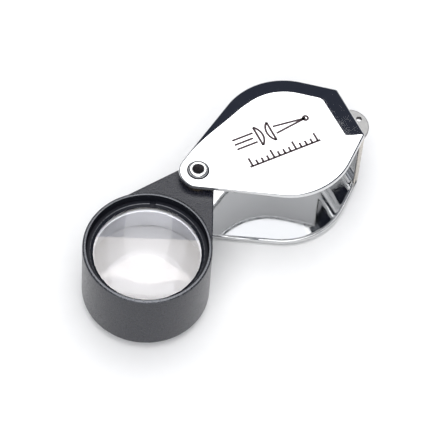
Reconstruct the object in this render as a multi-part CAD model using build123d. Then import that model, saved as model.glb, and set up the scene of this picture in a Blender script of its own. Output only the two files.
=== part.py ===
from build123d import *
import os
from math import sqrt

# Folding pocket loupe. All lengths are in millimetres.
#
# The model is drawn about the pivot: +Z runs up the rivet, +X runs from the rivet to the folded
# end of the case, and z = 0 is the underside of the case. At the end every piece is moved so
# that the origin is the centre of the bottom of the whole loupe.
#
# The loupe is drawn open: the lens holder has swung out of the case by HOLDER_ANGLE.

# Sheet-metal case
SHEET = 0.8                 # thickness of the folded sheet
PLATE_GAP = 14.0            # clear height between the two plates
NOSE_RADIUS = 3.15          # round end of the plates, about the rivet
LOBE_RADIUS = 11.5          # wide part of the plates, which covers the closed lens holder
LOBE_X = 16.2               # centre of the wide part
END_X = 28.3               # outer face of the folded end
END_HALF_WIDTH = 4.95        # half the width of the folded end
FOLD_RADIUS = 2.4           # outer radius of the two folds
EDGE_ROUND = 0.2            # rounding of the outer edges of the plates

# Lens holder: a barrel and an arm in one piece
BARREL_RADIUS = 10.5
BARREL_HEIGHT = 12.9
BARREL_X = 16.2             # distance from the pivot to the barrel's axis
HOLDER_ANGLE = -146.0       # turn of the holder away from its closed place, in degrees
HUB_RADIUS = 2.7            # round end of the arm, about the rivet
ARM_STEP = 0.5              # the arm's faces lie this far inside the barrel's ends
BORE_RADIUS = 9.05          # bore that holds the lenses and the spacer
COUNTERBORE_RADIUS = 9.9   # wider bore at each end, which holds a retaining ring
RIM_CHAMFER = 0.22

# Retaining rings
RING_DEPTH = 1.55           # from the rim down to the ring
RING_HEIGHT = 0.4
RING_OUTER_RADIUS = 9.85
RING_TOP_RADIUS = 9.2       # the bevelled inside is widest at the open face
APERTURE_RADIUS = 8.75      # and narrowest at the lens
NOTCH_WIDTH = 0.7           # two notches for the spanner that tightens the ring
NOTCH_DEPTH = 0.2
NOTCH_ANGLE = 59.0          # direction of the notches, in degrees from +X

# Lenses, flat outside and convex inside
LENS_RADIUS = 9.0
LENS_EDGE = 1.3             # thickness of the lens at its rim
LENS_CURVE = 24.0           # radius of the convex face
SPACER_INNER_RADIUS = 8.5

# Pivot
RIVET_RADIUS = 1.2
RIVET_BORE_RADIUS = 0.885   # the tubular end of the rivet
RIVET_BORE_DEPTH = 3.0
ROLLED_HEAD_RADIUS = 1.85   # where the rolled head meets the upper plate
ROLLED_TOP_RADIUS = 1.47    # across the top of the rolled head
ROLLED_HEAD_HEIGHT = 0.55
ROLLED_LIP_ROUND = 0.35     # depth over which the lip curves into the bore
FLAT_HEAD_RADIUS = 1.85
FLAT_HEAD_HEIGHT = 0.5
PIVOT_CLEARANCE = 0.05      # radial, between the rivet and the hole in the arm
WASHER_RADIUS = 2.5
WASHER_CLEARANCE = 0.05     # between each washer and the arm

# Cord lug: an angle bracket on the folded end
LUG_SHEET = 0.75
LUG_RADIUS = 3.35           # half-round ear
LUG_DROP = 4.35             # from the top of the case down to the ear
LUG_TAB_HEIGHT = 4.5        # the flange that lies against the case
LUG_TAB_HALF_WIDTH = 2.6
LUG_HOLE_RADIUS = 0.5
LUG_HOLE_OFFSET = (2.15, 0.5)   # from the middle of the case's end face
LUG_BEND = 0.5

# Heights that follow from the sizes above
CASE_HEIGHT = PLATE_GAP + 2 * SHEET
MIDDLE = CASE_HEIGHT / 2
BARREL_BOTTOM = MIDDLE - BARREL_HEIGHT / 2
BARREL_TOP = MIDDLE + BARREL_HEIGHT / 2
ARM_BOTTOM = BARREL_BOTTOM + ARM_STEP
ARM_TOP = BARREL_TOP - ARM_STEP
UPPER_PLATE_INSIDE = SHEET + PLATE_GAP
RING_FACE = BARREL_TOP - RING_DEPTH
LENS_FACE = RING_FACE - RING_HEIGHT
RUN_OUT = 1.0               # extra length of a cutting tool past the face it cuts
NEAR = 0.01                 # how close an edge must be to a place to be the edge meant


def disc(radius, low, high, x=0.0, y=0.0):
    """Upright solid cylinder between two heights."""
    return extrude(Pos(x, y, low) * Circle(radius), high - low)


def lens_sag(radius):
    """Depth of the convex lens face at a radius, measured from its middle."""
    return LENS_CURVE - sqrt(LENS_CURVE ** 2 - radius ** 2)


def lower_copy(piece):
    """The same piece mirrored into the lower half of the loupe."""
    return mirror(piece, about=Plane.XY.offset(MIDDLE))


def swung_out(piece):
    """Turn a piece that was drawn in the closed place to the open place."""
    return Rot(0, 0, HOLDER_ANGLE) * piece


def case_outline():
    """Plan of the plates: round nose, wide lobe and straight folded end."""
    nose = Circle(NOSE_RADIUS).edges()
    lobe = (Pos(LOBE_X, 0) * Circle(LOBE_RADIUS)).edges()
    end = Edge.make_line((END_X, -END_HALF_WIDTH), (END_X, END_HALF_WIDTH))
    return make_hull([*nose, *lobe, end])


def fold_profile(end_x, low, high, radius):
    """Side view of a block that reaches past the nose, with two round corners at the fold."""
    start_x = -NOSE_RADIUS - RUN_OUT
    block = Pos((start_x + end_x) / 2, (low + high) / 2) * Rectangle(end_x - start_x, high - low)
    return fillet(block.vertices().group_by(Axis.X)[-1], radius)


def make_case():
    """One sheet folded twice: two plates joined by the end wall, open along both sides."""
    outside = fold_profile(END_X, 0, CASE_HEIGHT, FOLD_RADIUS)
    inside = fold_profile(END_X - SHEET, SHEET, CASE_HEIGHT - SHEET, FOLD_RADIUS - SHEET)
    folded = extrude(Plane.XZ * (outside - inside), LOBE_RADIUS + RUN_OUT, both=True)
    case = folded & extrude(case_outline(), CASE_HEIGHT)
    plate_faces = case.faces().filter_by(Plane.XY)
    outer_faces = [plate_faces.sort_by(Axis.Z)[0], plate_faces.sort_by(Axis.Z)[-1]]
    fold_line = END_X - FOLD_RADIUS
    rims = [edge for face in outer_faces for edge in face.edges()
            if edge.center().X < fold_line - EDGE_ROUND]
    case = fillet(rims, EDGE_ROUND)
    return case - disc(RIVET_RADIUS, -RUN_OUT, CASE_HEIGHT + RUN_OUT)


def make_cord_lug():
    """Angle bracket: a flange against the end wall and a half-round ear with the cord hole."""
    ear_top = CASE_HEIGHT - LUG_DROP
    ear_low = ear_top - LUG_SHEET
    ear = disc(LUG_RADIUS, ear_low, ear_top, END_X)
    ear &= Pos(END_X + LUG_RADIUS, 0, MIDDLE) * Box(2 * LUG_RADIUS, 2 * LUG_RADIUS, CASE_HEIGHT)
    tab_middle = Pos(END_X + LUG_SHEET / 2, 0, ear_top - LUG_TAB_HEIGHT / 2)
    tab = tab_middle * Box(LUG_SHEET, 2 * LUG_TAB_HALF_WIDTH, LUG_TAB_HEIGHT)
    lug = ear + tab
    inner_corner = [edge for edge in lug.edges().filter_by(Axis.Y)
                    if abs(edge.center().Z - ear_low) < NEAR
                    and abs(edge.center().X - END_X - LUG_SHEET) < NEAR]
    lug = fillet(inner_corner, LUG_BEND)
    hole_x = END_X + LUG_HOLE_OFFSET[0]
    return lug - disc(LUG_HOLE_RADIUS, ear_low - RUN_OUT, ear_top + RUN_OUT, hole_x, LUG_HOLE_OFFSET[1])


def make_pivot_rivet():
    """Half-tubular rivet: a flat lower head, a shank, and an upper end rolled outwards."""
    top = CASE_HEIGHT + ROLLED_HEAD_HEIGHT
    bore_end = top - RIVET_BORE_DEPTH
    lip_middle = (RIVET_BORE_RADIUS + ROLLED_TOP_RADIUS) / 2
    rounding = FLAT_HEAD_HEIGHT / 2
    flat_edge = FLAT_HEAD_RADIUS - rounding
    profile = [
        Line((0, -FLAT_HEAD_HEIGHT), (flat_edge, -FLAT_HEAD_HEIGHT)),
        ThreePointArc((flat_edge, -FLAT_HEAD_HEIGHT), (FLAT_HEAD_RADIUS, -rounding), (flat_edge, 0)),
        Polyline((flat_edge, 0), (RIVET_RADIUS, 0), (RIVET_RADIUS, CASE_HEIGHT),
                 (ROLLED_HEAD_RADIUS, CASE_HEIGHT)),
        Bezier((ROLLED_HEAD_RADIUS, CASE_HEIGHT), (ROLLED_TOP_RADIUS, CASE_HEIGHT),
               (ROLLED_TOP_RADIUS, top), (lip_middle, top)),
        Bezier((lip_middle, top), (RIVET_BORE_RADIUS, top), (RIVET_BORE_RADIUS, top - ROLLED_LIP_ROUND)),
        Polyline((RIVET_BORE_RADIUS, top - ROLLED_LIP_ROUND), (RIVET_BORE_RADIUS, bore_end),
                 (0, bore_end), (0, -FLAT_HEAD_HEIGHT)),
    ]
    edges = [edge for line in profile for edge in line.edges()]
    return revolve(Plane.XZ * make_face(edges), Axis.Z)


def make_upper_washer():
    """Washer that fills the space between the upper plate and the arm."""
    low = ARM_TOP + WASHER_CLEARANCE
    return disc(WASHER_RADIUS, low, UPPER_PLATE_INSIDE) - disc(RIVET_RADIUS, low, UPPER_PLATE_INSIDE)


def make_lens_holder():
    """Barrel and arm in one piece, bored for the optics and for the rivet."""
    barrel = disc(BARREL_RADIUS, BARREL_BOTTOM, BARREL_TOP, BARREL_X)
    barrel = chamfer(barrel.edges().filter_by(GeomType.CIRCLE), RIM_CHAMFER)
    hub = Circle(HUB_RADIUS).edges()
    body = (Pos(BARREL_X, 0) * Circle(BARREL_RADIUS)).edges()
    arm = extrude(Pos(0, 0, ARM_BOTTOM) * make_hull([*hub, *body]), ARM_TOP - ARM_BOTTOM)
    holder = barrel + arm
    holder -= disc(BORE_RADIUS, BARREL_BOTTOM, BARREL_TOP, BARREL_X)
    holder -= disc(COUNTERBORE_RADIUS, LENS_FACE, BARREL_TOP, BARREL_X)
    holder -= lower_copy(disc(COUNTERBORE_RADIUS, LENS_FACE, BARREL_TOP, BARREL_X))
    holder -= disc(RIVET_RADIUS + PIVOT_CLEARANCE, ARM_BOTTOM, ARM_TOP)
    return swung_out(holder)


def make_upper_retaining_ring():
    """Ring with a bevelled inside and two spanner notches in its open face."""
    half_profile = make_face(Polyline(
        (APERTURE_RADIUS, LENS_FACE), (RING_OUTER_RADIUS, LENS_FACE),
        (RING_OUTER_RADIUS, RING_FACE), (RING_TOP_RADIUS, RING_FACE), close=True))
    ring = revolve(Plane.XZ * half_profile, Axis.Z)
    notch = Pos(0, 0, RING_FACE) * Box(3 * RING_OUTER_RADIUS, NOTCH_WIDTH, 2 * NOTCH_DEPTH)
    ring -= Rot(0, 0, NOTCH_ANGLE - HOLDER_ANGLE) * notch
    return swung_out(Pos(BARREL_X, 0, 0) * ring)


def make_upper_lens():
    """Plano-convex lens with its convex face towards the middle of the barrel."""
    edge_low = LENS_FACE - LENS_EDGE
    apex = edge_low - lens_sag(LENS_RADIUS)
    halfway = LENS_RADIUS / 2
    convex = ThreePointArc((LENS_RADIUS, edge_low), (halfway, apex + lens_sag(halfway)), (0, apex))
    flat = Polyline((0, apex), (0, LENS_FACE), (LENS_RADIUS, LENS_FACE), (LENS_RADIUS, edge_low))
    lens = revolve(Plane.XZ * make_face([convex, *flat.edges()]), Axis.Z)
    return swung_out(Pos(BARREL_X, 0, 0) * lens)


def make_spacer_ring():
    """Bare tube that the convex faces of both lenses rest on."""
    seat = LENS_FACE - LENS_EDGE - lens_sag(LENS_RADIUS) + lens_sag(SPACER_INNER_RADIUS)
    low = 2 * MIDDLE - seat
    ring = disc(LENS_RADIUS, low, seat) - disc(SPACER_INNER_RADIUS, low, seat)
    return swung_out(Pos(BARREL_X, 0, 0) * ring)


def make_pieces():
    """Every piece of the loupe, by node name, drawn about the pivot."""
    upper_washer = make_upper_washer()
    upper_ring = make_upper_retaining_ring()
    upper_lens = make_upper_lens()
    return {
        "case": make_case(),
        "cord_lug": make_cord_lug(),
        "pivot_rivet": make_pivot_rivet(),
        "upper_washer": upper_washer,
        "lower_washer": lower_copy(upper_washer),
        "lens_holder": make_lens_holder(),
        "upper_retaining_ring": upper_ring,
        "upper_lens": upper_lens,
        "spacer_ring": make_spacer_ring(),
        "lower_lens": lower_copy(upper_lens),
        "lower_retaining_ring": lower_copy(upper_ring),
    }


def write_pieces(pieces):
    """Move the origin to the centre of the bottom of the loupe and write one file per piece."""
    boxes = [piece.bounding_box() for piece in pieces.values()]
    low_x, low_y, low_z = [min(getattr(box.min, axis) for box in boxes) for axis in "XYZ"]
    high_x, high_y = [max(getattr(box.max, axis) for box in boxes) for axis in "XY"]
    pivot_x = -(low_x + high_x) / 2
    pivot_y = -(low_y + high_y) / 2
    os.makedirs("parts", exist_ok=True)
    for name, piece in pieces.items():
        export_step(Pos(pivot_x, pivot_y, -low_z) * piece, f"parts/{name}.step")
    print("pivot axis at x, y =", round(pivot_x, 4), round(pivot_y, 4))
    print("underside of the case at z =", round(-low_z, 4))


write_pieces(make_pieces())
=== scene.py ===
import bmesh
import bpy
import math
from mathutils import Matrix, Vector


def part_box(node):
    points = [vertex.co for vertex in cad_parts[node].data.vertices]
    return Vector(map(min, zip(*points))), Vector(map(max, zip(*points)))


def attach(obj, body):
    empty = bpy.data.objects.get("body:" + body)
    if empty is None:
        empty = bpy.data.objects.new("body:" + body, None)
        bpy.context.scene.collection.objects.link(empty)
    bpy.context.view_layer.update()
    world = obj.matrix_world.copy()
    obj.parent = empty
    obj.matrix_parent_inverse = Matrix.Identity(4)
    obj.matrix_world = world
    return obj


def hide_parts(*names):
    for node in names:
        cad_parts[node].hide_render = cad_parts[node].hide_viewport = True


# A folding pocket loupe: polished folded-sheet case, half-tubular rivet and a black lens holder.
# Lengths are in metres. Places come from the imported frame, and the sizes below are details of the shapes.

MM = 0.001

# Case sheet, measured about the pivot
PLATE_SHEET = 0.8 * MM          # thickness of the plates
LIP_SHEET = 0.55 * MM           # and at the edge, thinned by rolling
NOSE_RADIUS = 3.15 * MM         # round end about the rivet
LOBE_X = 16.2 * MM              # from the pivot to the centre of the wide part
END_HALF_WIDTH = 4.95 * MM      # half the width of the folded end
CORNER_RADIUS = 0.45 * MM       # corner between the taper and the folded end
CORNER_GROWTH = 0.3             # how much softer that corner gets for each unit further in
END_SPREAD = 1.3                # breadth of the fold against the rolled edge's
CUT_ROUND = 0.23 * MM           # rounding of the cut edge's two corners
NOSE_EDGE = 0.28 * MM           # rounding of the square edge at the nose
ROLL_GROWTH = 13.5 * MM         # distance from the pivot over which the rolled edge grows to full size
# Slope of the rolled edge in degrees, at distances along it from the flat of the plate
ROLL_BEND = ((0, 0), (0.3 * MM, 3), (2.35 * MM, 5), (2.88 * MM, 89), (3.32 * MM, 89))
ROLL_STEPS = (4, 8, 10, 1)      # divisions of its runs
LIP_INNER_RADIUS = 0.12 * MM    # tight bend inside the lip
FOLD_INNER_RADIUS = 1.2 * MM    # inside of the two folds
FLAT_MARGIN = 0.05 * MM         # flat ring between the rolled edge and the face, for clean shading
NOSE_FLAT_MARGIN = 0.03 * MM    # and at the nose
CUT_STEPS = 5                   # divisions of each corner of the cut edge
NOSE_STEPS = 24                 # divisions of half a plate's outline, part by part
FLANK_STEPS = 22
LOBE_STEPS = 52
TAPER_STEPS = 10
CORNER_STEPS = 6
END_STEPS = 8
WALL_STEPS = 10                 # rows of the end wall

# Engraved mark on the upper plate: a lens pair with rays to a focus, above a plain scale
MARK_LINE = 0.39 * MM           # width of its lines
MARK_PROUD = 0.012 * MM         # height of the paint above the plate
# The rest of the mark is in millimetres, along and across the plate from the pivot
MARK_AXIS = 1.9                 # middle of the lens pair, across the plate
MARK_LENSES = ((11.9, 1), (14.4, -1))   # flat face of each lens, and the side where it bulges
MARK_LENS_HALF = 1.95           # half the height of the lenses
MARK_LENS_BOW = 2.65            # radius of their convex faces
MARK_RAY_OFFSET = 0.95          # outer rays from the middle one
MARK_RAY_START = 7.6
MARK_RAY_END = 11.4             # outer rays stop at the first lens
MARK_MIDDLE_RAY_END = 11.0
MARK_RAY_BEND = 13.15           # where the rays turn to the focus, between the lenses
MARK_RAY_SKIPPED = 0.24         # share of the bent ray that the second lens hides
MARK_FOCUS = 20.7
MARK_FOCUS_RADIUS = 0.42
MARK_SCALE_LINE = -3.0          # the scale's base line, across the plate
MARK_SCALE_ENDS = (8.0, 21.0)
MARK_FIRST_TICK = 8.5
MARK_TICKS = 13
MARK_TICK_HEIGHT = 0.95
MARK_LONG_TICK_HEIGHT = 1.7
MARK_LONG_TICK_EVERY = 4

# Lens holder
RIM_ROUND = 0.32 * MM           # outer edge of the barrel's rims
RIM_INNER_ROUND = 0.08 * MM
RIM_HIGHLIGHT_SHARE = 0.9             # share of the rounding's height that takes the painted highlight
BARREL_WALL = 0.6 * MM          # wall beside the counterbores
LENS_WALL = 1.45 * MM           # wall beside the lenses
ARM_STEP = 0.5 * MM             # the arm's faces lie this far inside the barrel's rims
ARM_ROUND = 0.22 * MM
ARM_SIDE_SINK = 0.03 * MM       # depth of the arm's sides inside the barrel's surface
ARM_END_SINK = 0.4 * MM         # and of its end, hidden in the barrel's wall
HUB_RADIUS = 2.7 * MM
HUB_BORE = 1.25 * MM

# Retaining rings
RING_TOP_RADIUS = 9.2 * MM
APERTURE_RADIUS = 8.75 * MM
RING_ROUND = 0.13 * MM          # rounded edge of the bevel, which carries a painted highlight
RING_CORNER_ROUND = 0.05 * MM   # outer edge
RING_FACE_BAND = 0.1 * MM       # depth below the open face that a notch pushes down
NOTCH_HALF_WIDTH = 0.35 * MM
NOTCH_DEPTH = 0.2 * MM
NOTCH_ANGLE = math.radians(59.0)

# Lenses
LENS_CURVE = 24.0 * MM          # radius of the convex face
LENS_CURVE_STEPS = 40
LENS_CHAMFER = 0.12 * MM
SPACER_WALL = 0.5 * MM
SPACER_ROUND = 0.08 * MM

# Rivet and washers
RIVET_RADIUS = 1.2 * MM
RIVET_BORE = 0.885 * MM
RIVET_BORE_DEPTH = 3.0 * MM
ROLLED_TOP_RADIUS = 1.66 * MM
ROLLED_HEAD_HEIGHT = 0.55 * MM
ROLLED_LIP_ROUND = 0.35 * MM    # depth over which the lip curves into the bore
FLAT_HEAD_HEIGHT = 0.5 * MM
FLAT_HEAD_DOME = (0.3 * MM, 0.1 * MM)   # where its curved edge starts, in from the side and up from below
WASHER_ROUND = 0.1 * MM

# Cord lug
LUG_SHEET = 0.75 * MM
LUG_HOLE = 0.5 * MM
LUG_HOLE_PLACE = (2.15 * MM, 0.5 * MM)
LUG_TAB_HALF_WIDTH = 2.6 * MM
LUG_ROUND = 0.14 * MM
LUG_EAR_STEPS = 48

# Camera and stage
CAMERA_AZIMUTH = -30.76
CAMERA_ELEVATION = 57.46
CAMERA_ROLL = 5.21
CAMERA_DISTANCE = 0.4428
CAMERA_LENS = 222.05            # focal length in millimetres
SENSOR_WIDTH = 36
CAMERA_AIM = (0.27 * MM, -8.17 * MM)   # about the pivot, at the height of the barrel's rim
FLOOR_RADIUS = 0.6
FLOOR_SEGMENTS = 128

# Softbox overhead. It ends just past the upper plate's mirror direction, so that in the photograph's view
# the plate is white and its rolled edge dark
OVERHEAD_ELEVATION = 100        # from behind the loupe, 10 degrees past upright
OVERHEAD_DISTANCE = 0.9
OVERHEAD_SIZE = (0.95, 1.9)
OVERHEAD_RADIANCE = 3.1
# Lamp mirrored by the lens, sized as it looks on the lens face
STRIP_DISTANCE = 0.75
STRIP_WIDTH = 19 * MM
STRIP_HEIGHT = 10.3 * MM
STRIP_RISE = -2.8 * MM          # from the middle of the lens, up the picture
STRIP_TILT = -1.9
STRIP_RADIANCE = 5.0
STRIP_COLOR = (1.0, 0.93, 0.84)

# Studio round the table
STUDIO_HORIZON = (0.52, 0.54, 0.58)
STUDIO_DARK = (0.036, 0.041, 0.060)
STUDIO_FADE = 0.62              # sine of the elevation where it has gone dark
BACKDROP = (0.93, 0.93, 0.94)   # what the camera sees past the table

# Mesh fineness and tolerances
SEGMENTS = 192                  # steps round a turned piece
SMALL_SEGMENTS = 96             # and round a small one
RING_SEGMENTS = 360             # and round a retaining ring, whose notches need finer ones
HOLE_STEPS = 64
ARM_STEPS = 24                  # divisions of the arm's round hub and hidden end
EDGE_STEPS = 5                  # divisions of a prism's rounded edge
SHARP_EDGE = math.radians(35)
SUPPORT = 0.04 * MM             # flat margin kept beside a rounded edge, for clean shading
PICK_SLACK = 0.01 * MM          # slack when a face is picked by its place
WELD_DISTANCE = 1e-7
SMALLEST_EDGE = 1e-8

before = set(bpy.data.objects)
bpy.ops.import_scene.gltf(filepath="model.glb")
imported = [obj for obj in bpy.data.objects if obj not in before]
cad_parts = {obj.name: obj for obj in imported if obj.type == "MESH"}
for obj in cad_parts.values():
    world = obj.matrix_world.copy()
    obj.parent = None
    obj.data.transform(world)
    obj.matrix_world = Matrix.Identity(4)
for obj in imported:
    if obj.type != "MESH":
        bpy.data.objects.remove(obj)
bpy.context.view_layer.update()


# ---------------- places

def middle_of(node):
    """Centre of a node's box."""
    low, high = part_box(node)
    return (Vector(low) + Vector(high)) / 2


def floor_of(node):
    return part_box(node)[0][2]


def top_of(node):
    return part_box(node)[1][2]


def radius_of(node, centre):
    """Radius of a round node that stands on a centre."""
    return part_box(node)[1][0] - centre.x


pivot = middle_of("pivot_rivet")
barrel = middle_of("upper_lens")
case_low, case_high = (Vector(corner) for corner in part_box("case"))
CASE_MIDDLE = (case_low.z + case_high.z) / 2
CASE_HALF = (case_high.z - case_low.z) / 2
LOBE_RADIUS = (case_high.y - case_low.y) / 2
END_X = case_high.x - pivot.x
BARREL_RADIUS = barrel.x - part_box("lens_holder")[0][0]
LENS_FACE = top_of("upper_lens")
AIM = Vector((pivot.x + CAMERA_AIM[0], pivot.y + CAMERA_AIM[1], top_of("lens_holder")))


# ---------------- mesh helpers

def direction(turn):
    """Unit vector in plan at an angle from +X."""
    return Vector((math.cos(turn), math.sin(turn)))


def new_object(name, vertices, faces, material):
    """Finished object from vertices and faces."""
    mesh = bpy.data.meshes.new(name)
    mesh.from_pydata(vertices, [], faces)
    return finished(name, mesh, material)


def from_bmesh(name, shape, material):
    """Finished object from a bmesh, which is freed."""
    mesh = bpy.data.meshes.new(name)
    shape.to_mesh(mesh)
    shape.free()
    return finished(name, mesh, material)


def add_object(name, data):
    """New object in the scene."""
    item = bpy.data.objects.new(name, data)
    bpy.context.collection.objects.link(item)
    return item


def finished(name, mesh, material):
    """Weld a mesh, point its faces outwards, shade it smooth between sharp edges and make it an object."""
    shape = bmesh.new()
    shape.from_mesh(mesh)
    bmesh.ops.remove_doubles(shape, verts=shape.verts, dist=WELD_DISTANCE)
    bmesh.ops.dissolve_degenerate(shape, edges=shape.edges, dist=SMALLEST_EDGE)
    bmesh.ops.recalc_face_normals(shape, faces=shape.faces)
    shape.to_mesh(mesh)
    shape.free()
    mesh.shade_smooth()
    mesh.set_sharp_from_angle(angle=SHARP_EDGE)
    mesh.materials.append(material)
    return add_object(name, mesh)


def rounded(corners, steps=6):
    """Closed outline with each corner (x, z, radius) replaced by an arc of that radius, if it isn't 0."""
    outline = []
    count = len(corners)
    for index, (x, z, radius) in enumerate(corners):
        here = Vector((x, z))
        before = Vector(corners[index - 1][:2]) - here
        after = Vector(corners[(index + 1) % count][:2]) - here
        if radius == 0:
            outline.append(here)
            continue
        half_turn = before.angle(after) / 2
        reach = radius / math.tan(half_turn)
        start = here + before.normalized() * reach
        end = here + after.normalized() * reach
        inward = (before.normalized() + after.normalized()).normalized()
        centre = here + inward * (radius / math.sin(half_turn))
        for step in range(steps + 1):
            chord = start.lerp(end, step / steps) - centre
            outline.append(centre + chord.normalized() * radius)
    return [tuple(point) for point in outline]


def lathe(name, outline, centre, material, segments=SEGMENTS):
    """Turn a closed outline of (radius, height) points about an upright axis."""
    vertices = []
    for step in range(segments):
        angle = math.tau * step / segments
        for radius, height in outline:
            x, y = radius * math.cos(angle), radius * math.sin(angle)
            vertices.append((centre.x + x, centre.y + y, height))
    count = len(outline)
    faces = []
    for step in range(segments):
        this_ring = step * count
        next_ring = (step + 1) % segments * count
        for point in range(count):
            following = (point + 1) % count
            if outline[point][0] == 0 and outline[following][0] == 0:
                continue
            faces.append((this_ring + point, next_ring + point, next_ring + following, this_ring + following))
    return new_object(name, vertices, faces, material)


def upside_down(outline):
    """The same outline turned over about the middle of the case."""
    return [(radius, 2 * CASE_MIDDLE - z) for radius, z in outline]


def distance_from(axis, face):
    """Distance of a face's centre from an upright axis."""
    return math.hypot(face.center.x - axis.x, face.center.y - axis.y)


def add_row(shape, points):
    """New vertices in a bmesh, as a row."""
    return [shape.verts.new(point) for point in points]


def add_circle(shape, x, y, radius, height):
    """Level circle of new vertices in a bmesh, for a hole."""
    points = []
    for step in range(HOLE_STEPS):
        turn = math.tau * step / HOLE_STEPS
        points.append((x + radius * math.cos(turn), y + radius * math.sin(turn), height))
    return add_row(shape, points)


def join(shape, first, second, closed=False, look=0):
    """Faces between two rows of as many vertices. look is their material's index."""
    for index in range(len(first) if closed else len(first) - 1):
        following = (index + 1) % len(first)
        face = shape.faces.new((first[index], first[following], second[following], second[index]))
        face.material_index = look


def join_all(shape, rows, closed=False, look=0):
    for first, second in zip(rows, rows[1:]):
        join(shape, first, second, closed, look)


def fill_between(shape, loops):
    """Fill the flat area inside the first loop of vertices and outside the others."""
    edges = []
    for loop in loops:
        for pair in zip(loop, loop[1:] + loop[:1]):
            edges.append(shape.edges.get(pair) or shape.edges.new(pair))
    bmesh.ops.triangle_fill(shape, edges=edges, use_beauty=True)


def rounded_levels(low, high, radius):
    """Levels of a prism whose upper and lower edges are rounded, as (inset, height)."""
    levels = [(radius + SUPPORT, low)]
    for step in range(EDGE_STEPS + 1):
        turn = math.pi / 2 * step / EDGE_STEPS
        levels.append((radius * (1 - math.sin(turn)), low + radius * (1 - math.cos(turn))))
    return levels + [(inset, low + high - height) for inset, height in reversed(levels)]


def prism(name, outline, levels, material, hole=None):
    """Upright prism from an outline that takes an inset, with an optional round hole (x, y, radius)."""
    shape = bmesh.new()
    loops = [add_row(shape, [(*point, height) for point in outline(inset)]) for inset, height in levels]
    caps = [[loops[0]], [loops[-1]]]
    join_all(shape, loops, closed=True)
    if hole:
        rings = [add_circle(shape, *hole, height) for height in (levels[0][1], levels[-1][1])]
        join(shape, *rings, closed=True)
        caps = [cap + [ring] for cap, ring in zip(caps, rings)]
    for cap in caps:
        fill_between(shape, cap)
    return from_bmesh(name, shape, material)


def united(name, first, second, material):
    """One closed piece from two that overlap."""
    modifier = first.modifiers.new("union", "BOOLEAN")
    modifier.operation = "UNION"
    modifier.solver = "EXACT"
    modifier.object = second
    view = bpy.context.evaluated_depsgraph_get()
    mesh = bpy.data.meshes.new_from_object(first.evaluated_get(view))
    mesh.materials.clear()
    for old in (first, second):
        bpy.data.objects.remove(old)
    return finished(name, mesh, material)


# ---------------- material helpers

NOISE_MIDDLE = (0.35, 0.65)     # most values of a noise texture lie between these


def new_node(nodes, kind, values):
    """Shader node with values in its inputs."""
    node = nodes.new(kind)
    set_inputs(node, values)
    return node


def set_inputs(node, values):
    for socket, value in values.items():
        node.inputs[socket].default_value = value


class Look:
    """A Principled material with a few shorthands for adding procedural detail."""

    def __init__(self, name, color, metallic=0.0, roughness=0.5, ior=1.5):
        self.material = bpy.data.materials.new(name)
        self.material.use_nodes = True
        self.nodes = self.material.node_tree.nodes
        self.links = self.material.node_tree.links
        self.shader = self.nodes["Principled BSDF"]
        set_inputs(self.shader, {"Base Color": (*color, 1), "Metallic": metallic, "Roughness": roughness,
                                 "IOR": ior})
        self.place = self.nodes.new("ShaderNodeTexCoord").outputs["Object"]

    def noise(self, scale, detail=3.0, stretch=(1, 1, 1)):
        """Noise in object space. scale is the number of features in a metre."""
        mapping = new_node(self.nodes, "ShaderNodeMapping", {"Scale": stretch})
        self.links.new(self.place, mapping.inputs["Vector"])
        texture = new_node(self.nodes, "ShaderNodeTexNoise", {"Scale": scale, "Detail": detail})
        self.links.new(mapping.outputs["Vector"], texture.inputs["Vector"])
        return texture.outputs["Fac"]

    def ramp(self, source, low, high):
        """Stretch the middle of a noise to the range low to high."""
        ends = {"From Min": NOISE_MIDDLE[0], "From Max": NOISE_MIDDLE[1], "To Min": low, "To Max": high}
        stretch = new_node(self.nodes, "ShaderNodeMapRange", ends)
        self.links.new(source, stretch.inputs["Value"])
        return stretch.outputs["Result"]

    def blend_color(self, source, first, second):
        """Colour that goes from first to second as the source goes from 0 to 1."""
        mix = self.nodes.new("ShaderNodeMix")
        mix.data_type = "RGBA"
        mix.inputs["A"].default_value = (*first, 1)
        mix.inputs["B"].default_value = (*second, 1)
        self.links.new(source, mix.inputs["Factor"])
        self.links.new(mix.outputs["Result"], self.shader.inputs["Base Color"])

    def set_roughness(self, source):
        self.links.new(source, self.shader.inputs["Roughness"])

    def grain(self, source, depth, strength, colors=None, roughness=None):
        """Relief from a noise, which also varies the colour and roughness if their two ends are given."""
        if colors:
            self.blend_color(self.ramp(source, 0, 1), *colors)
        if roughness:
            self.set_roughness(self.ramp(source, *roughness))
        bump = new_node(self.nodes, "ShaderNodeBump", {"Strength": strength, "Distance": depth})
        self.links.new(source, bump.inputs["Height"])
        self.links.new(bump.outputs["Normal"], self.shader.inputs["Normal"])
        return self.material


# ---------------- materials

def make_chrome():
    """Buffed chrome plate: mirror bright, with a patchy faint haze and shallow buffing waves."""
    look = Look("polished_chrome", (0.67, 0.674, 0.68), metallic=1.0, roughness=0.04)
    look.set_roughness(look.ramp(look.noise(900, detail=4), 0.025, 0.06))
    return look.grain(look.noise(260, detail=1, stretch=(1, 1, 0.3)), 0.006 * MM, 0.5)


def make_cut_metal():
    """Sheared and tumbled edge of the sheet, duller and warmer than the plate."""
    look = Look("cut_metal", (0.55, 0.52, 0.48), metallic=1.0, roughness=0.3)
    colors = (0.50, 0.465, 0.42), (0.60, 0.575, 0.54)
    return look.grain(look.noise(7000), 0.004 * MM, 0.5, colors, (0.2, 0.34))


def make_nickel():
    """Dull nickel plate of the rivet."""
    look = Look("rivet_nickel", (0.60, 0.60, 0.59), metallic=1.0, roughness=0.2)
    return look.grain(look.noise(2500), 0.004 * MM, 0.5, roughness=(0.14, 0.28))


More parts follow.
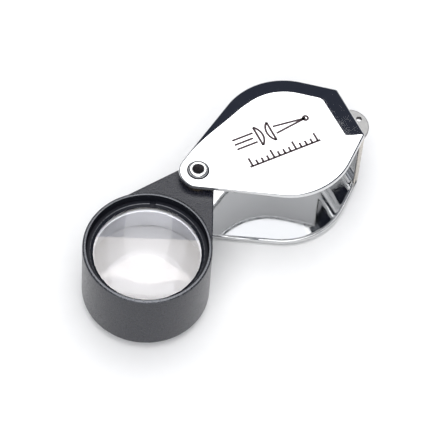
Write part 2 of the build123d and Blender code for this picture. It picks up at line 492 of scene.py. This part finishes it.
def make_satin_steel():
    """Satin plate of the cord lug, with a tumbled grain."""
    look = Look("satin_steel", (0.35, 0.347, 0.343), metallic=1.0, roughness=0.42)
    return look.grain(look.noise(3200, detail=4), 0.01 * MM, 0.6, roughness=(0.32, 0.46))


def make_brass():
    """Plain brass washer."""
    look = Look("washer_brass", (0.66, 0.49, 0.22), metallic=1.0, roughness=0.35)
    return look.grain(look.noise(2400), 0.008 * MM, 0.5, ((0.62, 0.45, 0.20), (0.72, 0.56, 0.28)))


def make_anodised(name, dark, light, roughness, grain_depth, specular=0.5):
    """Satin black anodising over a fine blasted grain."""
    look = Look(name, dark, roughness=roughness)
    look.shader.inputs["Specular IOR Level"].default_value = specular
    spread = roughness - 0.06, roughness + 0.08
    return look.grain(look.noise(4200), grain_depth, 0.7, (dark, light), spread)


def make_rim_painted_highlight():
    """Painted highlight: a lighter, glossier copy of the black anodising on the barrel's rims and the rings'
    bevel edges, standing in for light caught there.
    """
    look = Look("rim_painted_highlight", (0.10, 0.103, 0.112), metallic=1.0, roughness=0.3)
    colors = (0.075, 0.077, 0.085), (0.13, 0.134, 0.145)
    return look.grain(look.noise(4200), 0.012 * MM, 0.5, colors, (0.24, 0.36))


def make_turned_aluminium():
    """Bare turned aluminium with fine tool rings up its bore."""
    look = Look("bare_aluminium", (0.82, 0.825, 0.86), metallic=1.0, roughness=0.45)
    rings = look.noise(3000, detail=1, stretch=(0.02, 0.02, 1))
    return look.grain(rings, 0.006 * MM, 0.6, roughness=(0.38, 0.55))


def make_glass():
    """Clear lens glass with a faint coating tint and almost no surface haze."""
    look = Look("lens_glass", (0.965, 0.965, 0.985), roughness=0.0, ior=1.52)
    look.shader.inputs["Transmission Weight"].default_value = 1.0
    return look.grain(look.noise(180, detail=2), 0.0004 * MM, 0.2)


def make_bore_painted_shade():
    """Painted shade: a dark colour standing in for the shade inside the rivet's tube and on the wall of the
    lug's cord hole.
    """
    look = Look("bore_painted_shade", (0.08, 0.075, 0.08), roughness=0.55)
    return look.grain(look.noise(3000), 0.02 * MM, 0.6, ((0.05, 0.046, 0.05), (0.13, 0.12, 0.125)))


def make_ink():
    """Dark paint in the engraved mark."""
    look = Look("mark_ink", (0.04, 0.021, 0.026), roughness=0.5)
    colors = (0.03, 0.015, 0.019), (0.055, 0.03, 0.036)
    return look.grain(look.noise(6000, detail=2), 0.01 * MM, 0.5, colors)


def make_floor_material():
    """Matt white table surface."""
    look = Look("table_white", (0.89, 0.89, 0.89), roughness=0.9)
    look.blend_color(look.ramp(look.noise(400), 0, 1), (0.885, 0.885, 0.885), (0.895, 0.895, 0.895))
    return look.material


chrome = make_chrome()
cut_metal = make_cut_metal()
nickel = make_nickel()
satin_steel = make_satin_steel()
brass = make_brass()
black = make_anodised("black_anodised", (0.003, 0.004, 0.009), (0.018, 0.019, 0.029), 0.29, 0.05 * MM)
inner_black = make_anodised("inner_black", (0.006, 0.007, 0.011), (0.011, 0.012, 0.018), 0.5, 0.008 * MM, 0.2)
rim_painted_highlight = make_rim_painted_highlight()
aluminium = make_turned_aluminium()
glass = make_glass()
ink = make_ink()
bore_painted_shade = make_bore_painted_shade()


# ---------------- case

def ease(value):
    """Smooth step from 0 to 1."""
    value = min(max(value, 0.0), 1.0)
    return value * value * (3 - 2 * value)


def rolled_section():
    """Section of the rolled edge at the wide part, as (inset, depth) points from the flat outer face to the
    end of the bend, round the cut, and back to the flat inner face. The last list is the inner face where it
    bends into the end wall instead."""
    runs = []
    for (start, slope), (end, next_slope), steps in zip(ROLL_BEND, ROLL_BEND[1:], ROLL_STEPS):
        for step in range(steps):
            middle = (step + 0.5) / steps
            runs.append(((end - start) / steps, math.radians(slope + (next_slope - slope) * middle)))
    outer = [Vector((0, 0))]
    for length, slope in runs:
        outer.append(outer[-1] + Vector((length * math.cos(slope), length * math.sin(slope))))
    width = outer[-1].x
    outer = [Vector((width - point.x, point.y)) for point in outer]
    inner = inner_section(outer, LIP_INNER_RADIUS) + [Vector((LIP_SHEET, outer[-1].y))]
    fold = inner_section(outer, FOLD_INNER_RADIUS)
    fold.append(fold[-1] + Vector((0, SUPPORT)))
    return outer, cut_section(outer[-1], inner[-1], Vector((0, 1))), inner[::-1], fold[::-1]


def inner_section(outer, radius):
    """Inner face beside an outer section: flat, then a quarter bend of the given radius."""
    bend_start = sum(ROLL_STEPS[:2])
    bend_inset = LIP_SHEET + radius
    width = outer[0].x
    inner = []
    for point in outer[:bend_start + 1]:
        share = (point.x - outer[bend_start].x) / (width - outer[bend_start].x)
        inner.append(Vector((bend_inset + (width - bend_inset) * share, PLATE_SHEET)))
    for step in range(1, ROLL_STEPS[2] + 1):
        turn = math.pi / 2 * step / ROLL_STEPS[2]
        across, down = math.sin(turn), 1 - math.cos(turn)
        inner.append(Vector((bend_inset - radius * across, PLATE_SHEET + radius * down)))
    return inner


def plain_section(outer_count):
    """Section of the nearly square edge at the nose, with as many points as the rolled one."""
    outer, inner = [], []
    for step in range(outer_count):
        share = step / (outer_count - 1)
        turn = math.pi / 2 * share
        outer.append(Vector((NOSE_EDGE * (1 - math.sin(turn)), NOSE_EDGE * (1 - math.cos(turn)))))
        inner.append(Vector((NOSE_EDGE + 2 * NOSE_EDGE * share, PLATE_SHEET)))
    corner = Vector((0, PLATE_SHEET))
    slant = 0.2                 # share of the cut over which it runs into the inner face
    cut = [outer[-1].lerp(corner, step / CUT_STEPS * (1 - slant)) for step in range(1, CUT_STEPS + 1)]
    for step in range(CUT_STEPS):
        share = step / CUT_STEPS
        cut.append(Vector((NOSE_EDGE * share, PLATE_SHEET - slant * NOSE_EDGE * (1 - share))))
    return outer, cut, inner


def cut_section(start, end, out):
    """Points round the cut edge of the sheet: a corner, the flat and a corner."""
    along = (end - start).normalized()
    points = []
    for centre, first in ((start + along * CUT_ROUND, 0), (end - along * CUT_ROUND, math.pi / 2)):
        for step in range(CUT_STEPS):
            turn = first + math.pi / 2 * (step + 0.5) / CUT_STEPS
            points.append(centre - along * CUT_ROUND * math.cos(turn) + out * CUT_ROUND * math.sin(turn))
    return points


def half_outline(nose_inset, inset, end_inset):
    """Plan of the plate's +Y half, from the nose to the middle of the folded end, moved in from the outline
    by nose_inset at the nose, end_inset at the folded end and inset between. Points are (x, y, roll, fold):
    roll goes from 0 at the nose to 1 at the wide part, and fold from 0 to 1 round the end's corner."""
    flank_turn = math.acos((NOSE_RADIUS - LOBE_RADIUS) / LOBE_X)
    corner = Vector((END_X - LOBE_X, END_HALF_WIDTH))
    taper_turn = math.atan2(corner.y, corner.x) + math.acos(LOBE_RADIUS / corner.length)
    edge = []
    for step in range(NOSE_STEPS):
        turn = math.pi + (flank_turn - math.pi) * step / NOSE_STEPS
        edge.append((NOSE_RADIUS * math.cos(turn), NOSE_RADIUS * math.sin(turn), turn))
    outward = direction(flank_turn)
    start, end = outward * NOSE_RADIUS, Vector((LOBE_X, 0)) + outward * LOBE_RADIUS
    for step in range(FLANK_STEPS):
        edge.append((*start.lerp(end, step / FLANK_STEPS), flank_turn))
    for step in range(LOBE_STEPS):
        turn = flank_turn + (taper_turn - flank_turn) * step / LOBE_STEPS
        edge.append((LOBE_X + LOBE_RADIUS * math.cos(turn), LOBE_RADIUS * math.sin(turn), turn))
    points = []
    for x, y, turn in edge:
        share = ease(x / ROLL_GROWTH)
        inset_here = nose_inset + (inset - nose_inset) * share
        points.append((x - math.cos(turn) * inset_here, y - math.sin(turn) * inset_here, share, 0.0))
    lobe = LOBE_RADIUS - inset
    taper_start = Vector((LOBE_X + lobe * math.cos(taper_turn), lobe * math.sin(taper_turn)))
    radius = CORNER_RADIUS + CORNER_GROWTH * inset
    end_x = END_X - END_SPREAD * end_inset
    centre_x = end_x - radius
    reach = (LOBE_RADIUS - inset - radius - (centre_x - LOBE_X) * math.cos(taper_turn)) / math.sin(taper_turn)
    centre = Vector((centre_x, reach))
    taper_end = centre + direction(taper_turn) * radius
    for step in range(TAPER_STEPS):
        points.append((*taper_start.lerp(taper_end, step / TAPER_STEPS), 1.0, 0.0))
    for step in range(CORNER_STEPS * 2):
        turn = taper_turn * (1 - step / (CORNER_STEPS * 2))
        fold = ease(step / CORNER_STEPS - 1)
        points.append((*(centre + direction(turn) * radius), 1.0, fold))
    for step in range(END_STEPS + 1):
        points.append((end_x, centre.y * (1 - step / END_STEPS), 1.0, 1.0))
    return points


# Points of a plate's ring from the nose to the end of the free edge on one side, and on the whole free edge
FREE_HALF = NOSE_STEPS + FLANK_STEPS + LOBE_STEPS + TAPER_STEPS + CORNER_STEPS
FREE_COUNT = 2 * FREE_HALF + 1


def plate_ring(at_nose, at_lobe, at_end, upper):
    """Closed ring of points on a plate, from section points at the nose, the wide part and the folded end. It
    starts at the -Y corner of the folded end and runs round the free edge, then along the end."""
    points = []
    for x, y, roll, fold in half_outline(at_nose[0], at_lobe[0], at_end[0]):
        depth = at_nose[1] + (at_lobe[1] - at_nose[1]) * roll + (at_end[1] - at_lobe[1]) * fold
        points.append((x, y, CASE_HALF - depth))
    other = [(x, -y, z) for x, y, z in points]
    free = other[FREE_HALF:0:-1] + points[:FREE_HALF + 1]
    end = points[FREE_HALF + 1:] + other[-2:FREE_HALF:-1]
    sign = 1 if upper else -1
    return [Vector((pivot.x + x, pivot.y + y, CASE_MIDDLE + sign * z)) for x, y, z in free + end]


def plate_sections():
    """Sections of the outside, the cut edge and the inside of a plate, each at the nose, at the wide part
    and at the folded end, with a flat margin beside the rolled edge."""
    outer, cut, inner, fold = rolled_section()
    nose_outer, nose_cut, nose_inner = plain_section(len(outer))
    margin, nose_margin = Vector((FLAT_MARGIN, 0)), Vector((NOSE_FLAT_MARGIN, 0))
    outer = [outer[0] + margin] + outer
    nose_outer = [nose_outer[0] + nose_margin] + nose_outer
    inner = inner + [inner[-1] + margin]
    fold = fold + [fold[-1] + margin]
    nose_inner = nose_inner + [nose_inner[-1] + nose_margin]
    return (nose_outer, outer, outer), (nose_cut, cut, cut), (nose_inner, inner, fold)


def add_plate(shape, upper):
    """One plate with its lip and rivet hole. Returns its outer and inner rows along the folded end, and the
    columns across the cut edge at the fold's two sides."""
    at_outside, at_cut, at_inside = plate_sections()
    outside = [add_row(shape, plate_ring(*places, upper)) for places in zip(*at_outside)]
    lip = [add_row(shape, plate_ring(*places, upper)[:FREE_COUNT]) for places in zip(*at_cut)]
    inside = [add_row(shape, plate_ring(*places, upper)) for places in zip(*at_inside)]
    join_all(shape, outside, closed=True)
    join_all(shape, inside, closed=True)
    strips = [outside[-1][:FREE_COUNT]] + lip + [inside[0][:FREE_COUNT]]
    join_all(shape, strips)
    holes = []
    for ring in (outside[0], inside[-1]):
        holes.append(add_circle(shape, pivot.x, pivot.y, RIVET_RADIUS, ring[0].co.z))
        fill_between(shape, [ring, holes[-1]])
    join(shape, *holes, closed=True)
    end = list(range(FREE_COUNT - 1, len(outside[0]))) + [0]
    rows = [[ring[index] for index in end] for ring in (outside[-1], inside[0])]
    columns = [[strip[side] for strip in strips] for side in (-1, 0)]
    return rows, columns


def add_end_wall(shape, top_rows, bottom_rows):
    """Outer and inner faces of the end wall, as a list of level rows for each."""
    faces = []
    for top, bottom in zip(top_rows, bottom_rows):
        rows = [top]
        for step in range(1, WALL_STEPS):
            level = 1 - step / WALL_STEPS
            rows.append(add_row(shape, [low.co.lerp(high.co, level) for low, high in zip(bottom, top)]))
        rows.append(bottom)
        join_all(shape, rows)
        faces.append(rows)
    return faces


def add_wall_edge(shape, wall, corner, sideways, top_column, bottom_column):
    """Cut edge down one side of the end wall. corner is the end of the wall's rows that it joins."""
    columns = [top_column]
    for outer_row, inner_row in list(zip(*wall))[1:-1]:
        outer, inner = outer_row[corner], inner_row[corner]
        across = inner.co - outer.co
        along = across.normalized()
        section = cut_section(Vector((0, 0)), Vector((across.length, 0)), Vector((0, 1)))
        middle = add_row(shape, [outer.co + along * point.x + sideways * point.y for point in section])
        columns.append([outer] + middle + [inner])
    columns.append(bottom_column)
    join_all(shape, columns, look=1)


def make_case_shell():
    """The folded sheet as one closed mesh: two plates with rolled edges, joined by the end wall."""
    shape = bmesh.new()
    upper_rows, upper_columns = add_plate(shape, True)
    lower_rows, lower_columns = add_plate(shape, False)
    wall = add_end_wall(shape, upper_rows, lower_rows)
    sides = ((0, Vector((0, 1, 0))), (-1, Vector((0, -1, 0))))
    for (corner, sideways), top, bottom in zip(sides, upper_columns, lower_columns):
        add_wall_edge(shape, wall, corner, sideways, top, bottom)
    shell = from_bmesh("case_shell", shape, chrome)
    shell.data.materials.append(cut_metal)
    return shell


# ---------------- marking

def stroke(points):
    """Flat inlaid line along a path of (x, y) points on the upper plate, as vertices, four to a point, and
    faces."""
    vertices, faces = [], []
    for index, point in enumerate(points):
        before, after = points[max(index - 1, 0)], points[min(index + 1, len(points) - 1)]
        along = (after - before).normalized()
        across = Vector((-along.y, along.x)) * (MARK_LINE / 2)
        for side, level in ((1, 1), (-1, 1), (-1, -1), (1, -1)):
            vertices.append((*(point + across * side), case_high.z + level * MARK_PROUD))
    last = len(vertices) - 4
    for base in range(0, last, 4):
        for side in range(4):
            turn = (side + 1) % 4
            faces.append((base + side, base + turn, base + 4 + turn, base + 4 + side))
    return vertices, faces + [(0, 1, 2, 3), (last + 3, last + 2, last + 1, last)]


def arc_points(centre, radius, start, end, steps=16):
    """Points on an arc between two angles."""
    return [centre + direction(start + (end - start) * step / steps) * radius for step in range(steps + 1)]


def lens_lines(flat_x, facing):
    """Flat and curved face of one drawn lens, which bulges towards +X if facing is 1."""
    top, bottom = (Vector((flat_x, MARK_AXIS + side * MARK_LENS_HALF)) for side in (1, -1))
    half_turn = math.asin(MARK_LENS_HALF / MARK_LENS_BOW)
    centre = Vector((flat_x - facing * MARK_LENS_BOW * math.cos(half_turn), MARK_AXIS))
    middle = 0 if facing > 0 else math.pi
    return [[bottom, top], arc_points(centre, MARK_LENS_BOW, middle - half_turn, middle + half_turn)]


def optical_mark():
    """Generic engraving: a lens pair with rays to a focus, above a plain scale. Points are in millimetres."""
    lines = []
    for flat_x, facing in MARK_LENSES:
        lines += lens_lines(flat_x, facing)
    focus = Vector((MARK_FOCUS, MARK_AXIS))
    for offset in (-MARK_RAY_OFFSET, MARK_RAY_OFFSET):
        height = MARK_AXIS + offset
        lines.append([Vector((MARK_RAY_START, height)), Vector((MARK_RAY_END, height))])
        lines.append([Vector((MARK_RAY_BEND, height)).lerp(focus, MARK_RAY_SKIPPED), focus])
    lines.append([Vector((MARK_RAY_START, MARK_AXIS)), Vector((MARK_MIDDLE_RAY_END, MARK_AXIS))])
    lines.append(arc_points(focus, MARK_FOCUS_RADIUS, 0, math.tau, 24))
    lines.append([Vector((x, MARK_SCALE_LINE)) for x in MARK_SCALE_ENDS])
    for tick in range(MARK_TICKS):
        height = MARK_TICK_HEIGHT if tick % MARK_LONG_TICK_EVERY else MARK_LONG_TICK_HEIGHT
        foot = Vector((MARK_FIRST_TICK + tick, MARK_SCALE_LINE))
        lines.append([foot, foot + Vector((0, height))])
    return lines


def make_mark():
    """All strokes of the mark in one mesh, laid a hair above the polished plate."""
    vertices, faces = [], []
    for line in optical_mark():
        new_vertices, new_faces = stroke([Vector((pivot.x, pivot.y)) + point * MM for point in line])
        base = len(vertices)
        vertices += new_vertices
        faces += [tuple(base + corner for corner in face) for face in new_faces]
    return new_object("plate_mark", vertices, faces, ink)


# ---------------- lens holder

def make_barrel():
    """Turned barrel with rounded rims, a counterbore at each end and the lens bore between."""
    low, high = floor_of("lens_holder"), top_of("lens_holder")
    counterbore = high - LENS_FACE
    wide = BARREL_RADIUS - BARREL_WALL
    narrow = BARREL_RADIUS - LENS_WALL
    corners = [
        (BARREL_RADIUS, low, RIM_ROUND), (BARREL_RADIUS, high, RIM_ROUND), (wide, high, RIM_INNER_ROUND),
        (wide, high - counterbore, 0), (narrow, high - counterbore, 0),
        (narrow, low + counterbore, 0), (wide, low + counterbore, 0), (wide, low, RIM_INNER_ROUND),
    ]
    return lathe("barrel", rounded(corners), barrel, black)


def arm_outline(inset):
    """Plan of the arm: round hub, two sides tangent to the barrel, and an end inside its wall."""
    hub, centre = Vector((pivot.x, pivot.y)), Vector((barrel.x, barrel.y))
    reach = centre - hub
    heading = math.atan2(reach.y, reach.x)
    body = BARREL_RADIUS - ARM_SIDE_SINK
    side = math.acos((HUB_RADIUS - body) / reach.length)
    outline = []
    for step in range(ARM_STEPS + 1):
        turn = heading + side + (math.tau - 2 * side) * step / ARM_STEPS
        outline.append(hub + direction(turn) * (HUB_RADIUS - inset))
    outline.append(centre + direction(heading - side) * (body - inset))
    for step in range(ARM_STEPS + 1):
        turn = heading - side + 2 * (side - math.pi) * step / ARM_STEPS
        outline.append(centre + direction(turn) * (BARREL_RADIUS - ARM_END_SINK))
    outline.append(centre + direction(heading + side) * (body - inset))
    return outline


def make_holder():
    """Barrel and arm in one piece, dull inside the bore and with a painted highlight on the rims."""
    levels = rounded_levels(floor_of("lens_holder") + ARM_STEP, top_of("lens_holder") - ARM_STEP, ARM_ROUND)
    arm = prism("arm", arm_outline, levels, black, (pivot.x, pivot.y, HUB_BORE))
    holder = united("holder_body", make_barrel(), arm, black)
    holder.data.materials.append(inner_black)
    holder.data.materials.append(rim_painted_highlight)
    bore = BARREL_RADIUS - BARREL_WALL + PICK_SLACK
    # painted highlight: faces on the rims' rounding take the lighter, glossier metal
    rim = top_of("lens_holder") - CASE_MIDDLE - RIM_HIGHLIGHT_SHARE * RIM_ROUND
    for face in holder.data.polygons:
        if distance_from(barrel, face) < bore:
            face.material_index = 1
        elif abs(face.center.z - CASE_MIDDLE) > rim:
            face.material_index = 2
    return holder


# ---------------- optics

def ring_outline():
    """Section of the upper retaining ring: bevelled inside, slightly rounded corners."""
    low, high = floor_of("upper_retaining_ring"), top_of("upper_retaining_ring")
    outer = radius_of("upper_retaining_ring", barrel)
    corners = [
        (APERTURE_RADIUS, low, 0), (outer, low, 0),
        (outer, high, RING_CORNER_ROUND), (RING_TOP_RADIUS, high, RING_ROUND),
    ]
    return rounded(corners, 4)


def make_retaining_ring(name, outline, face_height, into):
    """Turned ring whose bevel edge carries a painted highlight. Its open face is sunk at two opposite spanner
    notches.
    into is 1 or -1, the way into the barrel."""
    ring = lathe(name, outline, barrel, inner_black, segments=RING_SEGMENTS)
    across = Vector((-math.sin(NOTCH_ANGLE), math.cos(NOTCH_ANGLE)))
    for vertex in ring.data.vertices:
        offset = Vector((vertex.co.x - barrel.x, vertex.co.y - barrel.y))
        at_face = abs(vertex.co.z - face_height) < RING_FACE_BAND
        if at_face and abs(offset.dot(across)) < NOTCH_HALF_WIDTH:
            vertex.co.z += into * NOTCH_DEPTH
    # painted highlight: the bevel's rounded edge takes the lighter, glossier metal
    ring.data.materials.append(rim_painted_highlight)
    for face in ring.data.polygons:
        off_edge = distance_from(barrel, face) - RING_TOP_RADIUS
        off_face = face.center.z - face_height
        face.material_index = int(abs(off_edge) < RING_ROUND and abs(off_face) < RING_ROUND)
    ring.data.set_sharp_from_angle(angle=SHARP_EDGE)
    return ring


def lens_outline():
    """Section of the upper lens: flat face up, convex face down, small ground chamfers."""
    low, top = floor_of("upper_lens"), top_of("upper_lens")
    radius = radius_of("upper_lens", barrel)
    outline = [(0.0, top), (radius / 2, top), (radius - LENS_CHAMFER, top), (radius, top - LENS_CHAMFER)]
    for step in range(LENS_CURVE_STEPS + 1):
        at = radius * (1 - step / LENS_CURVE_STEPS)
        sag = LENS_CURVE - math.sqrt(LENS_CURVE ** 2 - at ** 2)
        outline.append((at, low + sag))
    return outline


def tube_outline(node, centre, inner, radius):
    """Section of a plain tube or washer with broken edges, from its node's box."""
    low, high, outer = floor_of(node), top_of(node), radius_of(node, centre)
    corners = [(outer, low), (outer, high), (inner, high), (inner, low)]
    return rounded([(*corner, radius) for corner in corners], 3)


def make_spacer():
    """Bare spacer tube between the lenses."""
    inner = radius_of("spacer_ring", barrel) - SPACER_WALL
    return lathe("spacer_tube", tube_outline("spacer_ring", barrel, inner, SPACER_ROUND), barrel, aluminium)


# ---------------- rivet, washers, lug

def curve_points(control, steps=10):
    """Points of a cubic curve with four control points."""
    points = []
    for step in range(steps + 1):
        t = step / steps
        weights = ((1 - t) ** 3, 3 * t * (1 - t) ** 2, 3 * t * t * (1 - t), t ** 3)
        points.append(tuple(sum(w * p[axis] for w, p in zip(weights, control)) for axis in (0, 1)))
    return points


def rivet_outline():
    """Section of the half-tubular rivet: domed flat head below, shank, and a rolled lip above."""
    low, high = floor_of("pivot_rivet"), top_of("pivot_rivet")
    head = radius_of("pivot_rivet", pivot)
    plate = high - ROLLED_HEAD_HEIGHT
    under = low + FLAT_HEAD_HEIGHT
    lip = (RIVET_BORE + ROLLED_TOP_RADIUS) / 2
    dome_in, dome_up = FLAT_HEAD_DOME
    top, bore_edge = ROLLED_TOP_RADIUS, (RIVET_BORE, high)
    outline = [(0.0, low)]
    outline += curve_points([(head - dome_in, low), (head, low), (head, low + dome_up), (head, under)], 6)
    outline += [(RIVET_RADIUS, under), (RIVET_RADIUS, plate)]
    outline += curve_points([(head, plate), (top, plate), (top, high), (lip, high)])
    outline += curve_points([(lip, high), bore_edge, bore_edge, (RIVET_BORE, high - ROLLED_LIP_ROUND)])[1:]
    return outline + [(RIVET_BORE, high - RIVET_BORE_DEPTH), (0.0, high - RIVET_BORE_DEPTH)]


def make_rivet():
    """Turned rivet with painted shade: dark in its bore and black on the flare under the lip."""
    rivet = lathe("rivet", rivet_outline(), pivot, nickel, segments=SMALL_SEGMENTS)
    rivet.data.materials.append(bore_painted_shade)
    rivet.data.materials.append(inner_black)
    low, high = floor_of("pivot_rivet"), top_of("pivot_rivet")
    for face in rivet.data.polygons:
        from_axis, height = distance_from(pivot, face), face.center.z
        # painted shade: the bore takes a dark material standing in for the shade inside the tube
        if from_axis < RIVET_BORE + PICK_SLACK and low < height < high - ROLLED_LIP_ROUND / 2:
            face.material_index = 1
        # painted shade: the flare under the rolled lip is made black, standing in for the dark crescent of
        # shade round the head
        elif from_axis > ROLLED_TOP_RADIUS and high - ROLLED_HEAD_HEIGHT < height < high - ROLLED_LIP_ROUND:
            face.material_index = 2
    return rivet


def make_washer(node):
    """Washer with broken edges."""
    outline = tube_outline(node, pivot, RIVET_RADIUS, WASHER_ROUND)
    return lathe(node + "_turned", outline, pivot, brass, segments=SMALL_SEGMENTS)


def make_lug():
    """Bent angle bracket: a flange on the end wall and a half-round ear with the cord hole, whose wall
    carries painted shade.
    """
    low, high = (Vector(corner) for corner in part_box("cord_lug"))
    wall_x, centre_y = low.x, (low.y + high.y) / 2
    radius = high.y - centre_y

    def ear_outline(inset):
        points = []
        for step in range(LUG_EAR_STEPS + 1):
            turn = -math.pi / 2 + math.pi * step / LUG_EAR_STEPS
            x = max(radius * math.cos(turn) * (1 - inset / radius), inset)
            points.append((wall_x + x, centre_y + (radius - inset) * math.sin(turn)))
        return points

    def flange_outline(inset):
        near, far = wall_x + inset, wall_x + LUG_SHEET - inset
        left, right = (centre_y + side * (LUG_TAB_HALF_WIDTH - inset) for side in (-1, 1))
        return [(near, left), (far, left), (far, right), (near, right)]

    hole = (wall_x + LUG_HOLE_PLACE[0], centre_y + LUG_HOLE_PLACE[1], LUG_HOLE)
    ear = prism("ear", ear_outline, rounded_levels(high.z - LUG_SHEET, high.z, LUG_ROUND), satin_steel, hole)
    middle = high.z - LUG_SHEET / 2
    flange = prism("flange", flange_outline, rounded_levels(low.z, middle, LUG_ROUND), satin_steel)
    lug = united("lug_bracket", ear, flange, satin_steel)
    # painted shade: the cord hole's upright wall takes a dark material standing in for the shade in the hole
    lug.data.materials.append(bore_painted_shade)
    for face in lug.data.polygons:
        in_hole = distance_from(Vector(hole[:2]), face) < LUG_HOLE + PICK_SLACK
        face.material_index = int(in_hole and abs(face.normal.z) < 0.5)     # not the flat faces
    return lug


# ---------------- stage

def make_floor():
    """Round white table top."""
    shape = bmesh.new()
    bmesh.ops.create_circle(shape, cap_ends=True, segments=FLOOR_SEGMENTS, radius=FLOOR_RADIUS)
    mesh = bpy.data.meshes.new("table")
    shape.to_mesh(mesh)
    shape.free()
    mesh.materials.append(make_floor_material())
    add_object("table", mesh)


def view_axes(azimuth, elevation):
    """Unit vectors from the object towards a viewer, and the viewer's right and up."""
    turn, lift = math.radians(azimuth), math.radians(elevation)
    towards = Vector((math.sin(turn) * math.cos(lift), -math.cos(turn) * math.cos(lift), math.sin(lift)))
    right = (-towards).cross(Vector((0, 0, 1))).normalized()
    return towards, right, right.cross(-towards)


def looking(place, towards, right, up):
    """World matrix of a camera or lamp whose back points along towards."""
    matrix = Matrix((right, up, towards)).transposed().to_4x4()
    matrix.translation = place
    return matrix


def camera_axes():
    """The camera's backward, right and up directions, with its roll."""
    towards, right, up = view_axes(CAMERA_AZIMUTH, CAMERA_ELEVATION)
    roll = Matrix.Rotation(math.radians(CAMERA_ROLL), 3, towards)
    return towards, roll @ right, roll @ up


def make_camera():
    """Camera at the photograph's viewing angle."""
    towards, right, up = camera_axes()
    data = bpy.data.cameras.new("camera")
    data.lens = CAMERA_LENS
    data.sensor_width = SENSOR_WIDTH
    data.clip_start = 0.01
    data.clip_end = 10
    camera = add_object("camera", data)
    camera.matrix_world = looking(AIM + towards * CAMERA_DISTANCE, towards, right, up)
    bpy.context.scene.camera = camera


def add_lamp(name, width, height, radiance, matrix, color=(1, 1, 1)):
    """Rectangular lamp of an even radiance."""
    data = bpy.data.lights.new(name, "AREA")
    data.shape = "RECTANGLE"
    data.size, data.size_y = width, height
    data.energy = radiance * math.pi * width * height
    data.color = color
    add_object(name, data).matrix_world = matrix


def make_overhead():
    """Broad softbox over the loupe, with its long side along the line of sight."""
    towards, right, up = view_axes(CAMERA_AZIMUTH + 180, OVERHEAD_ELEVATION)
    matrix = looking(towards * OVERHEAD_DISTANCE, towards, right, up)
    add_lamp("overhead", *OVERHEAD_SIZE, OVERHEAD_RADIANCE, matrix)


def make_world():
    """Dim studio around the table for reflections and fill, paler towards the horizon, and a pale backdrop
    for the camera."""
    world = bpy.data.worlds.new("studio")
    world.use_nodes = True
    nodes, links = world.node_tree.nodes, world.node_tree.links
    nodes.clear()
    output = nodes.new("ShaderNodeOutputWorld")
    pale = new_node(nodes, "ShaderNodeBackground", {"Color": (*BACKDROP, 1)})
    studio = nodes.new("ShaderNodeBackground")
    sky = nodes.new("ShaderNodeTexCoord")
    height = nodes.new("ShaderNodeSeparateXYZ")
    fade = new_node(nodes, "ShaderNodeMapRange", {"From Max": STUDIO_FADE})
    fade.interpolation_type = "SMOOTHSTEP"
    blend = nodes.new("ShaderNodeMix")
    blend.data_type = "RGBA"
    blend.inputs["A"].default_value = (*STUDIO_HORIZON, 1)
    blend.inputs["B"].default_value = (*STUDIO_DARK, 1)
    links.new(sky.outputs["Generated"], height.inputs["Vector"])
    links.new(height.outputs["Z"], fade.inputs["Value"])
    links.new(fade.outputs["Result"], blend.inputs["Factor"])
    links.new(blend.outputs["Result"], studio.inputs["Color"])
    rays = nodes.new("ShaderNodeLightPath")
    mix = nodes.new("ShaderNodeMixShader")
    links.new(rays.outputs["Is Camera Ray"], mix.inputs["Fac"])
    links.new(studio.outputs[0], mix.inputs[1])
    links.new(pale.outputs[0], mix.inputs[2])
    links.new(mix.outputs[0], output.inputs["Surface"])
    bpy.context.scene.world = world


def make_lens_strip():
    """Small lamp that the flat face of the upper lens mirrors to the camera, over its near part."""
    face = Vector((barrel.x, barrel.y, LENS_FACE))
    towards, right, _ = camera_axes()
    eye = AIM + towards * CAMERA_DISTANCE
    eye.z = 2 * face.z - eye.z
    reach = (face - eye).length
    ray = (face - eye) / reach
    spread = (reach + STRIP_DISTANCE) / reach
    tilt = Matrix.Rotation(math.radians(STRIP_TILT), 3, ray)
    side = tilt @ Vector((right.x, right.y, -right.z))
    rise = ray.cross(side)
    centre = face + ray * STRIP_DISTANCE + rise * (STRIP_RISE * spread)
    matrix = looking(centre, ray, side, rise)
    add_lamp("lens_strip", STRIP_WIDTH * spread, STRIP_HEIGHT * spread, STRIP_RADIANCE, matrix, STRIP_COLOR)


# ---------------- assembly

def place(piece, body, node, slot):
    """Ride on a body and stand for a CAD node. slot is not used."""
    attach(piece, body)
    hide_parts(node)


def main():
    """Build every piece and the stage."""
    place(make_case_shell(), "case", "case", "polished_case")
    mark = make_mark()
    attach(mark, "case")
    place(make_rivet(), "case", "pivot_rivet", "rivet_nickel")
    place(make_lug(), "case", "cord_lug", "satin_steel")
    for node in ("upper_washer", "lower_washer"):
        place(make_washer(node), "case", node, "washer_brass")

    place(make_holder(), "lens_holder", "lens_holder", "black_anodised")
    ring, face = ring_outline(), top_of("upper_retaining_ring")
    for side, outline, height, into in (("upper", ring, face, -1),
                                        ("lower", upside_down(ring), 2 * CASE_MIDDLE - face, 1)):
        piece = make_retaining_ring(side + "_ring", outline, height, into)
        place(piece, "lens_holder", side + "_retaining_ring", "black_anodised")
    lens = lens_outline()
    for side, outline in (("upper", lens), ("lower", upside_down(lens))):
        place(lathe("lens_" + side, outline, barrel, glass), "lens_holder", side + "_lens", "lens_glass")
    place(make_spacer(), "lens_holder", "spacer_ring", "bare_aluminium")

    make_floor()
    make_world()
    make_overhead()
    make_lens_strip()
    make_camera()
    bpy.context.scene.view_settings.view_transform = "Standard"


main()
